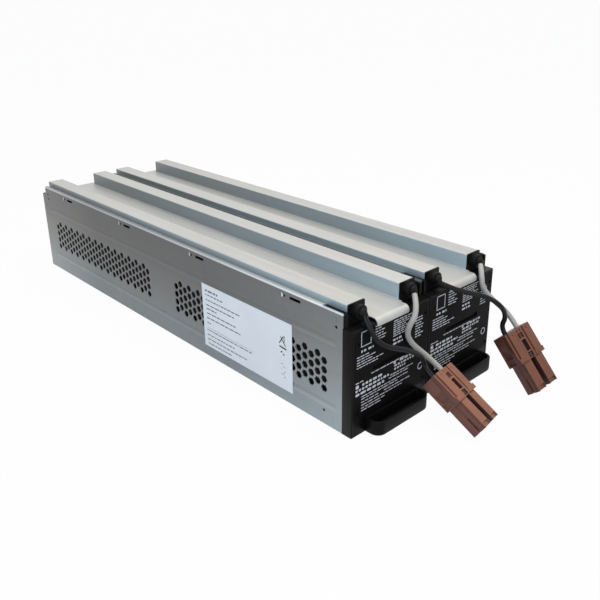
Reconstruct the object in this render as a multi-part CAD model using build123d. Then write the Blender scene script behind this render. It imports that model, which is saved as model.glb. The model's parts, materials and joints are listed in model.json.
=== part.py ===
"""UPS battery: two identical steel-cased cartridges side by side, each with eight sealed blocks,
a black moulded front with a pull handle, and two leads ending in one two-pole plug. Units mm, +Z up.
Each cartridge is drawn from its own corner: X right, Y back from the front face, Z up."""
from build123d import *
import math
import os

os.makedirs("parts", exist_ok=True)

# Clearances
FIT = 0.1                # between parts that slide together
SKIN = 0.05              # between faces that only lie against each other
PAIR_GAP = 0.9           # between the two moulded fronts
HEADROOM = 0.4           # between the blocks and the cover's trough
SIDE_ROOM = 3.25         # between the blocks and the walls
TINY = 0.01              # for finding edges

# Sheets and mouldings
SHEET = 1.0              # walls, floor and rear panel
COVER_T = 0.8            # top cover sheet
WALL_INSET = 0.3         # walls stand back from the edge of the moulded front
BEZEL_T = 2.6            # wall of the moulded front
FRONT_D = 11.5           # depth of the moulded front

# Blocks: the common 12 V size, 90 x 70 x 101
BLOCKS = 8
BLOCK_W, BLOCK_L, BLOCK_H = 90.0, 70.0, 100.8
BLOCK_GAP = 0.05
LID_H, LID_STEP = 15.0, 0.6
TERMINAL, TERMINAL_H = 6.4, 3.6
TERMINAL_IN = 11.0       # terminal's middle from the side of the block
STRAP_W, STRAP_T, STRAP_OVER = 9.0, 1.2, 6.0

# Case outline, built up from the blocks
FRONT_W = BLOCK_W + 2 * (SIDE_ROOM + SHEET + WALL_INSET)
BLOCK_TOP = SHEET + BLOCK_H
TROUGH_TOP = BLOCK_TOP + HEADROOM + COVER_T
FRONT_H = TROUGH_TOP - 3.0
WALL_TOP = TROUGH_TOP + 9.7
CHANNEL_TOP = TROUGH_TOP + 15.1
BLOCK_FRONT = FRONT_D + SKIN
PANEL_FRONT = BLOCK_FRONT + BLOCKS * (BLOCK_L + BLOCK_GAP) - BLOCK_GAP + FIT
WALL_REAR = PANEL_FRONT + SHEET
INNER_X = WALL_INSET + SHEET

# Pull handle
HANDLE_D, HANDLE_WALL, HANDLE_R, HANDLE_UNDER_R = 17.0, 2.6, 9.5, 3.0
HANDLE_X = (15.0, FRONT_W - 13.0)
HANDLE_Z = (0.8, 15.3)

# The pair in the shared frame
PITCH = FRONT_W + PAIR_GAP
TOTAL_W = PITCH + FRONT_W
MID_Y = (WALL_REAR - HANDLE_D) / 2

# Top cover
CHANNEL_W = 19.5
CHANNEL_A = 6.8          # outer wall of the outer channel
CHANNEL_B = FRONT_W - CHANNEL_W - 8.2
COVER_FRONT = FRONT_D + 1.5
COVER_REAR = WALL_REAR - 8.5
CREST_R, TROUGH_R = 0.9, 0.8
FOOT_DROP = 0.2          # foot of the cover under the wall's flange
FOOT_TOP = WALL_TOP - SHEET - FOOT_DROP
CLOSER_IN = 0.2          # closing plates inside the channels' rear ends
LIP_FRONT = -1.0         # front face of the tongue
LIP_R = 4.6
LIP_END = FRONT_H - 3.7
LIP_TRIM = 2.0           # the tongue is narrower than the trough by this each side
LIP_WIDE = 4.0           # length of the full-width root of the tongue
LIP_CORNER = 1.0

# Walls
NOTCH_Y = 36.0           # the bent top edge starts behind this
FLANGE_REACH = 3.9       # width of the bent top edge
BEND_R = 1.5
STRIP_H = 4.0            # height of the strip that is bent
REAR_CUT_Y = WALL_REAR - 9.5
REAR_CUT_Z = TROUGH_TOP - 1.0
TRAY_SIDE_H = 9.0
PANEL_R = 0.7

# Vents: two fields of hexagons
HOLE_AF = 6.8            # across flats
ROWS, ROW_PITCH, COLUMN_PITCH = 4, 8.95, 8.0
FIRST_ROW_Z = 35.3
FIELD_FRONT, FIELD_GAP, FIELD_REAR = 33.3, 57.3, 34.4
FIELD_L = (WALL_REAR - FIELD_FRONT - FIELD_GAP - FIELD_REAR) / 2
COLUMNS = round(FIELD_L / COLUMN_PITCH) + 1

# Beads, slots, lances, rivets and punch marks
BEAD_Z = (21.0, 83.0)
BEAD_HALF, BEAD_DEPTH = 4.0, 0.6
BEAD_Y = (19.0, WALL_REAR - 19.0)
SLOT_L, SLOT_H = 14.0, 2.8
SLOT_Z = WALL_TOP - 6.1
SLOTS, SLOT_FRONT, SLOT_REAR = 4, 69.0, 79.5
SLOT_PITCH = (WALL_REAR - SLOT_FRONT - SLOT_REAR) / (SLOTS - 1)
LANCE_BACK, LANCE_HALF, LANCE_PROUD = 14.6, 2.2, 0.6
MOUTH_L, MOUTH_H = 2.2, 2.0
RIVET_YZ = ((20.9, WALL_TOP - 8.1), (24.3, 8.3))
RIVET_R, RIVET_HEAD_R, RIVET_GRIP = 1.6, 2.2, 2.0
PUNCH_R = 1.5
PUNCH_YZ = ((19.1, WALL_TOP - 14.1), (33.4, 13.6), (WALL_REAR - 15.5, WALL_TOP - 9.5),
            (WALL_REAR - 16.5, WALL_TOP - 15.9))

# Ears of the moulded front, inside the walls
EAR_T = 2.8
EAR_FRONT = 8.8
EAR_REAR = NOTCH_Y - 0.5
EAR_TOP = WALL_TOP - 0.2
EAR_LOW_TOP = 16.0
EAR_BELOW = 1.0          # how far the upper ear reaches down into the front
BEZEL_R = 0.8

# Face of the moulded front
FILM_T, FILM_R = 0.15, 2.0
FILM_X = (2.0, FRONT_W - 1.7)
FILM_Z = (17.3, FRONT_H - 2.0)
DIMPLE_R, DIMPLE_DEPTH = 1.5, 1.0
FACE_DIMPLES = ((7.2, FRONT_H - 12.5), (FRONT_W - 5.5, FRONT_H - 12.5), (6.6, 22.2), (FRONT_W - 5.1, 22.2))
SLIT_X = (25.5, FRONT_W - 22.6)
SLIT_Z = (56.7, 61.5)
SLIT_DEPTH, SLIT_R = 2.0, 0.6

# White label on the outer wall
SIDE_LABEL_Y = (73.6, 209.0)
SIDE_LABEL_Z = (11.5, 81.2)

# Channel end caps and cable bushings
CAP_FRONT = FRONT_D + FIT
CAP_TOP = CHANNEL_TOP + 0.4
CAP_R = 1.0
TENON_L, TENON_IN = 9.0, 1.0
BUSH_R, BUSH_L = 6.2, 5.9
RING_R, RING_L = 7.0, 1.4
BUSH_Z = TROUGH_TOP + 8.2
HOOD_R = 4.2
SPIGOT_R, SPIGOT_L = 3.2, 3.6

# Plug: rear half, then the nose with its two prongs
PLUG_W, PLUG_H = 37.6, 17.0
PLUG_REAR, PLUG_NOSE = 30.0, 29.0
NOSE_W, NOSE_TOP, NOSE_BOTTOM = 29.6, 7.0, -8.2
COVER_SPLIT = 2.5        # height of the joint between the plug's two shells
FORK_W, FORK_FLOOR = 6.8, 3.0
TIP_STEP_L, TIP_STEP_H, TIP_EDGE = 4.3, 1.6, 1.2
SIDE_SLIT_Z = (-1.2, 0.0)
SIDE_GAP_Z = (-1.6, 0.6)
SLIT_IN, GAP_IN = 0.8, 3.4
RIDGE_Z, RIDGE_IN = (4.6, 5.4), 0.8
COVE_R, COVE_IN = 4.2, 3.0
COVE_Y, COVE_END = 17.0, 22.5
RECESS_Y, RECESS_IN = (23.4, 28.6), 2.2
RECESS_FLOOR = 1.2
BORE_X, BORE_HALF, BORE_L = (5.2, 11.2), 3.4, 10.0
CONTACT_IN, CONTACT_HALF, CONTACT_BACK = 1.2, 1.4, 3.0

# Plug lid: ledges, grooves, bands, pockets and window
LEDGE_W, LEDGE_DROP, LEDGE_L = 2.2, 1.3, 25.5
GROOVE_W, GROOVE_DEPTH = 0.9, 1.8
TRACK_HALF, TRACK_DROP, TRACK_L = 6.0, 0.7, 26.0
MARK_X, MARK_Y, MARK_HALF, MARK_DEPTH = 10.6, 3.6, 0.8, 0.5
DASH_X, DASH_Y, DASH_HALF_W = 2.3, (1.4, 3.4), 0.7
POCKET_Y = (7.4, PLUG_REAR - 3.3)
POCKET_HALF_W, POCKET_HALF_L, POCKET_DEPTH = 3.3, 2.6, 2.6
WINDOW_Y, WINDOW_HALF, WINDOW_DEPTH = (11.7, 22.7), 3.0, 4.4
SCREW_R, SCREW_H, DRIVE_W, DRIVE_DEPTH = 2.0, 1.4, 0.7, 0.6

# Leads
LEAD_X = 9.5             # from the plug's middle
BLACK_D, GREY_D = 4.6, 5.0
ARC_SHARE = 0.45         # of the shorter run, taken by an arc
# Where a lead leaves its bushing: across, from the front face, and up from the bushing's middle
LEAD_EXIT = {"black": (-0.05, 2.55, -2.9), "grey": (-0.75, 3.0, -2.75)}
# Where each plug lies, in its own cartridge's corner: middle of the rear face, nose and width directions
PLUG_AT = {
    "left": ((80.3, -26.2, 41.9), (0.12, -0.824, -0.553), (0.967, 0.223, -0.123)),
    "right": ((80.6, -36.0, 51.7), (0.032, -0.640, -0.768), (0.997, -0.030, 0.066)),
}
# Bends of the leads between bushing and plug, hand placed
LEAD_BENDS = {
    ("left", "black"): ((14.8, -3.8, 99.7), (23.3, -10.8, 83.3), (48.6, -18.3, 74.2), (67.4, -19.7, 61.1)),
    ("left", "grey"): ((71.4, -8.8, 97.8), (63.3, -3.6, 82.1), (69.5, -3.1, 67.4)),
    ("right", "black"): ((30.2, -7.9, 99.3), (50.4, -22.6, 93.4), (62.0, -33.5, 84.0), (71.5, -34.9, 69.3)),
    ("right", "grey"): ((73.0, -4.1, 100.9), (71.4, -7.0, 88.8), (79.4, -18.4, 75.2)),
}
# Straight tail of each lead before it meets its plug
LEAD_TAIL = {
    ("left", "black"): 10.5,
    ("left", "grey"): 14.8,
    ("right", "black"): 8.4,
    ("right", "grey"): 14.9,
}


def box(x0, x1, y0, y1, z0, z1):
    """A box from its six faces."""
    return Pos((x0 + x1) / 2, (y0 + y1) / 2, (z0 + z1) / 2) * Box(x1 - x0, y1 - y0, z1 - z0)


def both_sides(x0, x1, y0, y1, z0, z1):
    """Two boxes, mirrored about the middle plane X = 0."""
    return box(x0, x1, y0, y1, z0, z1) + box(-x1, -x0, y0, y1, z0, z1)


def rod(radius, length, at, axis):
    """A cylinder that starts at a point and runs along an axis."""
    plane = Plane(origin=at, z_dir=axis)
    return plane * Cylinder(radius, length, align=(Align.CENTER, Align.CENTER, Align.MIN))


def ball(radius, at):
    """A sphere about a point."""
    return Pos(*at) * Sphere(radius)


def capsule(radius, x, z, y0, y1):
    """A round-ended rod along Y."""
    return rod(radius, y1 - y0, (x, y0, z), (0, 1, 0)) + ball(radius, (x, y0, z)) + ball(radius, (x, y1, z))


def y_prism(points, y0, y1):
    """A section in X and Z pulled along Y."""
    face = make_face(Polyline([(x, y0, z) for x, z in points], close=True))
    return Solid.extrude(face.face(), Vector(0, y1 - y0, 0))


def x_prism(points, x0, x1):
    """A section in Y and Z pulled along X."""
    face = make_face(Polyline([(x0, y, z) for y, z in points], close=True))
    return Solid.extrude(face.face(), Vector(x1 - x0, 0, 0))


def edges_at(shape, axis, **place_of):
    """Edges along an axis whose middles lie at the given coordinates."""
    def near(edge):
        return all(abs(getattr(edge.center(), name) - value) < TINY for name, value in place_of.items())
    return shape.edges().filter_by(axis).filter_by(near)


def place(shape, cartridge):
    """From one cartridge's own corner to the shared frame."""
    return Pos(cartridge * PITCH - TOTAL_W / 2, -MID_Y, 0) * shape


def mirror_x(shape):
    """The same piece on the other side of its own cartridge."""
    return Pos(FRONT_W, 0, 0) * mirror(shape, Plane.YZ)


def save(name, *shapes):
    """Writes one node, of one or several solids."""
    solids = [s for shape in shapes for s in shape.solids()]
    for s in solids:
        s.label = name
    out = solids[0] if len(solids) == 1 else Compound(children=solids)
    out.label = name
    export_step(out, f"parts/{name}.step")
    print(name, len(solids), round(sum(s.volume for s in solids) / 1000, 2), "cm3")


def vent_centres(hide_from, hide_to):
    """Hexagon centres of both fields; the ones wholly behind a label are left closed."""
    out = []
    for start in (FIELD_FRONT, FIELD_FRONT + FIELD_L + FIELD_GAP):
        for col in range(COLUMNS):
            y = start + col * COLUMN_PITCH
            if hide_from < y < hide_to:
                continue
            offset = ROW_PITCH / 2 if col % 2 else 0
            out += [(y, FIRST_ROW_Z + row * ROW_PITCH + offset) for row in range(ROWS)]
    return out


def vent_cutters():
    """One hexagonal prism for each vent of the outer wall."""
    corner = HOLE_AF / math.sqrt(3)
    turns = [math.radians(60 * k) for k in range(6)]
    out = []
    for y, z in vent_centres(SIDE_LABEL_Y[0] + HOLE_AF / 2, SIDE_LABEL_Y[1] - HOLE_AF / 2):
        ring = [(y + corner * math.cos(a), z + corner * math.sin(a)) for a in turns]
        out.append(x_prism(ring, WALL_INSET - SHEET, INNER_X + SHEET))
    return out


def bent_strip():
    """The wall's top strip with its edge bent inwards."""
    x0, y0, y1 = WALL_INSET, NOTCH_Y, REAR_CUT_Y
    strip = box(x0, INNER_X, y0, y1, WALL_TOP - STRIP_H, WALL_TOP)
    strip += box(x0, x0 + FLANGE_REACH, y0, y1, WALL_TOP - SHEET, WALL_TOP)
    strip = fillet(edges_at(strip, Axis.Y, X=x0, Z=WALL_TOP), BEND_R)
    return fillet(edges_at(strip, Axis.Y, X=INNER_X, Z=WALL_TOP - SHEET), BEND_R - SHEET)


def side_wall(vented):
    """The left wall of one cartridge, with its bent-in top edge, beads and punching."""
    x0, x1 = WALL_INSET, INNER_X
    outline = [(FRONT_D, 0), (WALL_REAR, 0), (WALL_REAR, REAR_CUT_Z), (REAR_CUT_Y, REAR_CUT_Z),
               (REAR_CUT_Y, WALL_TOP - STRIP_H), (NOTCH_Y, WALL_TOP - STRIP_H), (NOTCH_Y, WALL_TOP),
               (FRONT_D, WALL_TOP)]
    wall = x_prism(outline, x0, x1) + bent_strip()
    groove_r = (BEAD_HALF ** 2 + BEAD_DEPTH ** 2) / (2 * BEAD_DEPTH)
    axis_x = x0 + BEAD_DEPTH - groove_r
    y0, y1 = BEAD_Y[0] + BEAD_HALF, BEAD_Y[1] - BEAD_HALF
    for z in BEAD_Z:
        swell = rod(groove_r + SHEET, BEAD_Y[1] - BEAD_Y[0], (axis_x, BEAD_Y[0], z), (0, 1, 0))
        wall += swell & box(x1 - FIT, x1 + SHEET, *BEAD_Y, z - 2 * BEAD_HALF, z + 2 * BEAD_HALF)
        wall -= capsule(groove_r, axis_x, z, y0, y1)
    dome_r = (LANCE_HALF ** 2 + LANCE_PROUD ** 2) / (2 * LANCE_PROUD)
    cutters = []
    for k in range(SLOTS):
        y = SLOT_FRONT + k * SLOT_PITCH
        lance = y + LANCE_BACK
        dome = ball(dome_r, (x0 + dome_r - LANCE_PROUD, lance, SLOT_Z))
        wall += dome & box(x0 - SHEET, x0 + SKIN, lance, lance + dome_r, SLOT_Z - dome_r, SLOT_Z + dome_r)
        for back, length, height in ((y, SLOT_L, SLOT_H), (lance - MOUTH_L / 2, MOUTH_L, MOUTH_H)):
            cutters.append(box(x0 - SHEET, x1 + SHEET, back - length / 2, back + length / 2,
                               SLOT_Z - height / 2, SLOT_Z + height / 2))
    holes = [(y, z, RIVET_R) for y, z in RIVET_YZ] + [(y, z, PUNCH_R) for y, z in PUNCH_YZ]
    cutters += [rod(r, 3 * SHEET, (x0 - SHEET, y, z), (1, 0, 0)) for y, z, r in holes]
    if vented:
        cutters += vent_cutters()
    return wall.cut(*[s for c in cutters for s in c.solids()])


def floor_tray():
    """Floor with two upturned sides that the walls are fixed to."""
    x0, x1 = INNER_X, FRONT_W - INNER_X
    tray = box(x0, x1, FRONT_D, PANEL_FRONT, 0, SHEET)
    for a, b in ((x0, x0 + SHEET), (x1 - SHEET, x1)):
        tray += box(a, b, NOTCH_Y + SHEET, PANEL_FRONT, 0, TRAY_SIDE_H)
    return tray


def rear_panel():
    """Rear sheet with its top edge bent forward, level with the cover's trough."""
    x0, x1 = INNER_X, FRONT_W - INNER_X
    panel = box(x0, x1, PANEL_FRONT, WALL_REAR, 0, TROUGH_TOP)
    panel += box(x0, x1, COVER_REAR + FIT, WALL_REAR, TROUGH_TOP - COVER_T, TROUGH_TOP)
    return fillet(edges_at(panel, Axis.X, Y=WALL_REAR, Z=TROUGH_TOP), PANEL_R)


def cover_tongue(x0, x1):
    """The end of the trough, rolled down over the moulded front, with its corners taken off."""
    t, y1, y2 = COVER_T, LIP_FRONT, COVER_FRONT
    low = TROUGH_TOP
    section = [(y2, low), (y1, low), (y1, LIP_END), (y1 + t, LIP_END), (y1 + t, low - t), (y2, low - t)]
    tongue = x_prism(section, x0, x1)
    tongue = fillet(edges_at(tongue, Axis.X, Y=y1 + t, Z=low - t), LIP_R - t)
    tongue = fillet(edges_at(tongue, Axis.X, Y=y1, Z=low), LIP_R)
    corners = [e for x in (x0, x1) for e in edges_at(tongue, Axis.Y, X=x, Z=LIP_END)]
    return chamfer(corners, LIP_CORNER)


def top_cover():
    """One sheet: foot, channel, trough, channel, foot; its tongue rolls down over the front."""
    t, a, b, w = COVER_T, CHANNEL_A, CHANNEL_B, CHANNEL_W
    top, low, foot = CHANNEL_TOP, TROUGH_TOP, FOOT_TOP
    upper = [(a, foot), (a, top), (a + w, top), (a + w, low), (b, low), (b, top), (b + w, top), (b + w, foot)]
    lower = [(b + w - t, foot), (b + w - t, top - t), (b + t, top - t), (b + t, low - t),
             (a + w - t, low - t), (a + w - t, top - t), (a + t, top - t), (a + t, foot)]
    cover = y_prism(upper + lower, COVER_FRONT, COVER_REAR)
    crests = [e for x in (a, a + w, b, b + w) for e in edges_at(cover, Axis.Y, X=x, Z=top)]
    cover = fillet(crests, CREST_R)
    roots = [e for x in (a + w, b) for e in edges_at(cover, Axis.Y, X=x, Z=low)]
    cover = fillet(roots, TROUGH_R)
    edge = INNER_X + FIT
    for x0, x1 in ((edge, a + t), (b + w - t, FRONT_W - edge)):
        cover += box(x0, x1, NOTCH_Y + HEADROOM, REAR_CUT_Y - HEADROOM, foot - t, foot)
    for x0 in (a + CLOSER_IN, b + CLOSER_IN):
        cover += box(x0, x0 + w - 2 * CLOSER_IN, COVER_REAR - t, COVER_REAR, low, top - CREST_R)
    x0, x1 = a + w + FIT, b - FIT
    cover += box(x0, x1, COVER_FRONT - LIP_WIDE, COVER_FRONT, low - t, low)
    return cover + cover_tongue(x0 + LIP_TRIM, x1 - LIP_TRIM)


def face_slit():
    """Long opening in the face, cut from in front."""
    cut = box(*SLIT_X, -SHEET, SLIT_DEPTH, *SLIT_Z)
    return fillet(cut.edges().filter_by(Axis.Y), SLIT_R)


def front_bezel():
    """Hollow black front with corner ears that reach into the case and are riveted to its walls."""
    t = BEZEL_T
    body = box(0, FRONT_W, 0, FRONT_D, 0, FRONT_H)
    body = fillet(body.edges().filter_by(lambda e: e.center().Y < TINY), BEZEL_R)
    body -= box(t, FRONT_W - t, t, FRONT_D + SHEET, t, FRONT_H - t)
    x0, x1 = INNER_X + FIT, INNER_X + FIT + EAR_T
    upper = box(x0, x1, EAR_FRONT, FRONT_D, FRONT_H - EAR_BELOW, EAR_TOP)
    upper += box(x0, x1, EAR_FRONT, EAR_REAR, BLOCK_TOP + HEADROOM, EAR_TOP)
    lower = box(x0, x1, FRONT_D - t, EAR_REAR, t - FIT, EAR_LOW_TOP)
    for y, z in RIVET_YZ:
        hole = rod(RIVET_R, INNER_X + EAR_T + SHEET, (0, y, z), (1, 0, 0))
        upper -= hole
        lower -= hole
    for ear in (upper, lower):
        body += ear
        body += mirror_x(ear)
    for x, z in FACE_DIMPLES:
        body -= rod(DIMPLE_R, DIMPLE_DEPTH, (x, 0, z), (0, 1, 0))
    return body - face_slit()


def face_film():
    """Dark printed film over the front, with openings for the dimples and the slot."""
    film = box(*FILM_X, -FILM_T, 0, *FILM_Z)
    film = fillet(film.edges().filter_by(Axis.Y), FILM_R)
    for x, z in FACE_DIMPLES:
        film -= rod(DIMPLE_R + FILM_T, 2 * SHEET, (x, -SHEET, z), (0, 1, 0))
    return film - face_slit()


def pull_handle():
    """Scoop handle, open on top for the fingers, its back against the moulded front."""
    (x0, x1), (z0, z1), w = HANDLE_X, HANDLE_Z, HANDLE_WALL
    body = box(x0, x1, -HANDLE_D, 0, z0, z1)
    upright = body.edges().filter_by(Axis.Z).filter_by(lambda e: e.center().Y < -HANDLE_D / 2)
    body = fillet(upright, HANDLE_R)
    under = body.faces().sort_by(Axis.Z)[0].edges().filter_by(lambda e: e.center().Y < -TINY)
    body = fillet(under, HANDLE_UNDER_R)
    cavity = box(x0 + w, x1 - w, -HANDLE_D + w, -w, z0 + w, z1 + SHEET)
    front = cavity.edges().filter_by(Axis.Z).filter_by(lambda e: e.center().Y < -HANDLE_D / 2)
    return body - fillet(front, HANDLE_R - w)


def cell_block(index):
    """One sealed block with its lid and the two terminal posts."""
    x0 = (FRONT_W - BLOCK_W) / 2
    y0 = BLOCK_FRONT + index * (BLOCK_L + BLOCK_GAP)
    x1, y1 = x0 + BLOCK_W, y0 + BLOCK_L
    body = box(x0, x1, y0, y1, SHEET, BLOCK_TOP - LID_H)
    body += box(x0 + LID_STEP, x1 - LID_STEP, y0 + LID_STEP, y1 - LID_STEP, BLOCK_TOP - LID_H, BLOCK_TOP)
    y, half = (y0 + y1) / 2, TERMINAL / 2
    for x in (x0 + TERMINAL_IN, x1 - TERMINAL_IN):
        body += box(x - half, x + half, y - half, y + half, BLOCK_TOP, BLOCK_TOP + TERMINAL_H)
    return body


def straps():
    """Flat links that join neighbouring blocks, left and right in turn."""
    out = []
    x0 = (FRONT_W - BLOCK_W) / 2
    z = BLOCK_TOP + TERMINAL_H
    for k in range(BLOCKS - 1):
        x = x0 + BLOCK_W - TERMINAL_IN if k % 2 == 0 else x0 + TERMINAL_IN
        y = BLOCK_FRONT + k * (BLOCK_L + BLOCK_GAP) + BLOCK_L / 2
        out.append(box(x - STRAP_W / 2, x + STRAP_W / 2, y - STRAP_OVER, y + BLOCK_L + BLOCK_GAP + STRAP_OVER,
                       z, z + STRAP_T))
    return out


def end_cap(x0):
    """Plate over a channel's mouth with a tenon in the channel."""
    x1 = x0 + CHANNEL_W
    plate = box(x0, x1, CAP_FRONT, COVER_FRONT, BLOCK_TOP + HEADROOM, CAP_TOP)
    plate = fillet([e for x in (x0, x1) for e in edges_at(plate, Axis.Y, X=x, Z=CAP_TOP)], CAP_R)
    tenon = box(x0 + TENON_IN, x1 - TENON_IN, COVER_FRONT - SKIN, COVER_FRONT + TENON_L,
                TROUGH_TOP + FIT, CHANNEL_TOP - TENON_IN)
    return plate + tenon


def bushing(x_mid, start, direction):
    """Round cable bushing on the cap, with a hood and a short spigot where its lead leaves."""
    front = CAP_FRONT - BUSH_L
    hub = rod(BUSH_R, BUSH_L, (x_mid, front, BUSH_Z), (0, 1, 0))
    ring = rod(RING_R, RING_L, (x_mid, CAP_FRONT - RING_L, BUSH_Z), (0, 1, 0))
    hood = ball(HOOD_R, (x_mid, front, BUSH_Z)) - rod(2 * HOOD_R, 2 * HOOD_R, start, direction)
    spigot = rod(SPIGOT_R, SPIGOT_L, start, tuple(-v for v in direction))
    return hub + ring + hood + spigot


def rivets():
    """Blind rivets of both walls, heads outside."""
    out = []
    for y, z in RIVET_YZ:
        head = rod(RIVET_HEAD_R, WALL_INSET - SKIN, (SKIN, y, z), (1, 0, 0))
        one = head + rod(RIVET_R, SHEET + RIVET_GRIP, (WALL_INSET - SKIN, y, z), (1, 0, 0))
        out += [one, mirror_x(one)]
    return out


def plug_frame(end, nose, wide):
    """Where the plug lies: nose along its own -Y, width along its own X."""
    y_dir = Vector(*nose).normalized() * -1
    x_dir = Vector(*wide)
    x_dir = (x_dir - y_dir * x_dir.dot(y_dir)).normalized()
    return Plane(origin=end, x_dir=x_dir, z_dir=x_dir.cross(y_dir))


def plug_body():
    """Lower shell of the rear half, with coves and ribs in its sides, and the forked nose."""
    hw, hh, nw = PLUG_W / 2, PLUG_H / 2, NOSE_W / 2
    tip, past = -PLUG_REAR - PLUG_NOSE, -PLUG_REAR - PLUG_NOSE - SHEET
    half_way = -PLUG_REAR - PLUG_NOSE / 2
    fork = FORK_W / 2
    body = box(-hw, hw, -PLUG_REAR, 0, -hh, COVER_SPLIT)
    body += box(-nw, nw, tip, -PLUG_REAR, NOSE_BOTTOM, NOSE_TOP)
    body -= box(-fork, fork, past, -PLUG_REAR, NOSE_BOTTOM + FORK_FLOOR, NOSE_TOP + SHEET)
    body -= both_sides(fork + TIP_EDGE / 2, nw - TIP_EDGE, past, tip + TIP_STEP_L,
                       NOSE_TOP - TIP_STEP_H, NOSE_TOP + SHEET)
    body -= both_sides(nw - SLIT_IN, nw + SHEET, past, -PLUG_REAR - SHEET, *SIDE_SLIT_Z)
    body -= both_sides(nw - GAP_IN, nw + SHEET, past, half_way, *SIDE_GAP_Z)
    body -= both_sides(nw - RIDGE_IN, nw + SHEET, past, -PLUG_REAR - SHEET, *RIDGE_Z)
    body -= both_sides(*BORE_X, past, tip + BORE_L, -BORE_HALF, BORE_HALF)
    low, high = -hh + RECESS_FLOOR, COVER_SPLIT + SHEET
    body -= both_sides(hw - COVE_IN, hw + SHEET, -COVE_END, -COVE_Y, low, high)
    body -= both_sides(hw - RECESS_IN, hw + SHEET, -RECESS_Y[1], -RECESS_Y[0], low, high)
    for side in (-1, 1):
        body -= rod(COVE_R, high - low, (side * (hw - COVE_IN + COVE_R), -COVE_Y, low), (0, 0, 1))
    return body


def plug_cover():
    """Lid of the rear half: ledges, grooves, a centre track with dashes, screw pockets and a window."""
    hw, top = PLUG_W / 2, PLUG_H / 2
    lid = box(-hw, hw, -PLUG_REAR, 0, COVER_SPLIT, top)
    track_z = top - TRACK_DROP
    lid -= both_sides(hw - LEDGE_W, hw + SHEET, -LEDGE_L, SHEET, top - LEDGE_DROP, top + SHEET)
    lid -= both_sides(hw - LEDGE_W - GROOVE_W, hw - LEDGE_W, -LEDGE_L, SHEET, top - GROOVE_DEPTH, top + SHEET)
    lid -= both_sides(TRACK_HALF, TRACK_HALF + GROOVE_W, -TRACK_L, SHEET, top - GROOVE_DEPTH, top + SHEET)
    lid -= box(-TRACK_HALF, TRACK_HALF, -PLUG_REAR - SHEET, SHEET, track_z, top + SHEET)
    lid -= both_sides(MARK_X - MARK_HALF, MARK_X + MARK_HALF, -MARK_Y - MARK_HALF, -MARK_Y + MARK_HALF,
                      top - MARK_DEPTH, top + SHEET)
    lid -= both_sides(DASH_X - DASH_HALF_W, DASH_X + DASH_HALF_W, -DASH_Y[1], -DASH_Y[0],
                      top - GROOVE_DEPTH, top + SHEET)
    for y in POCKET_Y:
        lid -= box(-POCKET_HALF_W, POCKET_HALF_W, -y - POCKET_HALF_L, -y + POCKET_HALF_L,
                   top - POCKET_DEPTH, top + SHEET)
    return lid - box(-WINDOW_HALF, WINDOW_HALF, -WINDOW_Y[1], -WINDOW_Y[0], top - WINDOW_DEPTH, top + SHEET)


def plug_screws():
    """Two cheese-head screws in the pockets of the lid."""
    z = PLUG_H / 2 - POCKET_DEPTH
    out = []
    for y in POCKET_Y:
        head = rod(SCREW_R, SCREW_H, (0, -y, z), (0, 0, 1))
        head -= box(-SCREW_R, SCREW_R, -y - DRIVE_W / 2, -y + DRIVE_W / 2,
                    z + SCREW_H - DRIVE_DEPTH, z + SCREW_H)
        out.append(head)
    return out


def plug_contacts():
    """Two flat contacts at the back of the bores in the nose."""
    back = -PLUG_REAR - PLUG_NOSE + BORE_L
    a, b = BORE_X[0] + CONTACT_IN, BORE_X[1] - CONTACT_IN
    pair = both_sides(a, b, back - BORE_L + CONTACT_BACK, back, -CONTACT_HALF, CONTACT_HALF)
    return pair.solids()


def lead(points, diameter):
    """Cord along straight runs joined by tangent arcs; prints the radii it used."""
    vecs = [Vector(*p) for p in points]
    runs = [b - a for a, b in zip(vecs, vecs[1:])]
    turns = [a.get_angle(b) for a, b in zip(runs, runs[1:])]
    radii = [ARC_SHARE * min(a.length, b.length) / math.tan(math.radians(turn) / 2)
             for a, b, turn in zip(runs, runs[1:], turns)]
    path = FilletPolyline(*vecs, radius=radii).wire()
    tube = sweep(Plane(origin=vecs[0], z_dir=runs[0]) * Circle(diameter / 2), path=path)
    section = math.pi * diameter ** 2 / 4
    print("runs", [round(r.length, 1) for r in runs], "radii", [round(r, 1) for r in radii],
          "turns", [round(t) for t in turns], "length", round(path.length, 1),
          "volume share", round(tube.volume / (path.length * section), 3))
    return tube


def lead_set(cartridge, side, frame):
    """Both leads of one cartridge and the bushings that they leave through."""
    for colour, sign, diameter, channel in (("black", -1, BLACK_D, CHANNEL_A),
                                            ("grey", 1, GREY_D, CHANNEL_B)):
        x_mid = channel + CHANNEL_W / 2
        across, forward, up = LEAD_EXIT[colour]
        bends = LEAD_BENDS[(side, colour)]
        start = (x_mid + across, forward, BUSH_Z + up)
        before = frame.from_local_coords(Vector(sign * LEAD_X, LEAD_TAIL[(side, colour)], 0))
        entry = frame.from_local_coords(Vector(sign * LEAD_X, 0, 0))
        points = [start, *bends, tuple(before), tuple(entry)]
        direction = tuple((Vector(*bends[0]) - Vector(*start)).normalized())
        which = "outer" if colour == "black" else "inner"
        save(f"{side}_{which}_bushing", place(bushing(x_mid, start, direction), cartridge))
        save(f"{side}_{colour}_lead", place(lead(points, diameter), cartridge))
        print("points", side, colour, [tuple(round(c, 2) for c in p) for p in points])


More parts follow.
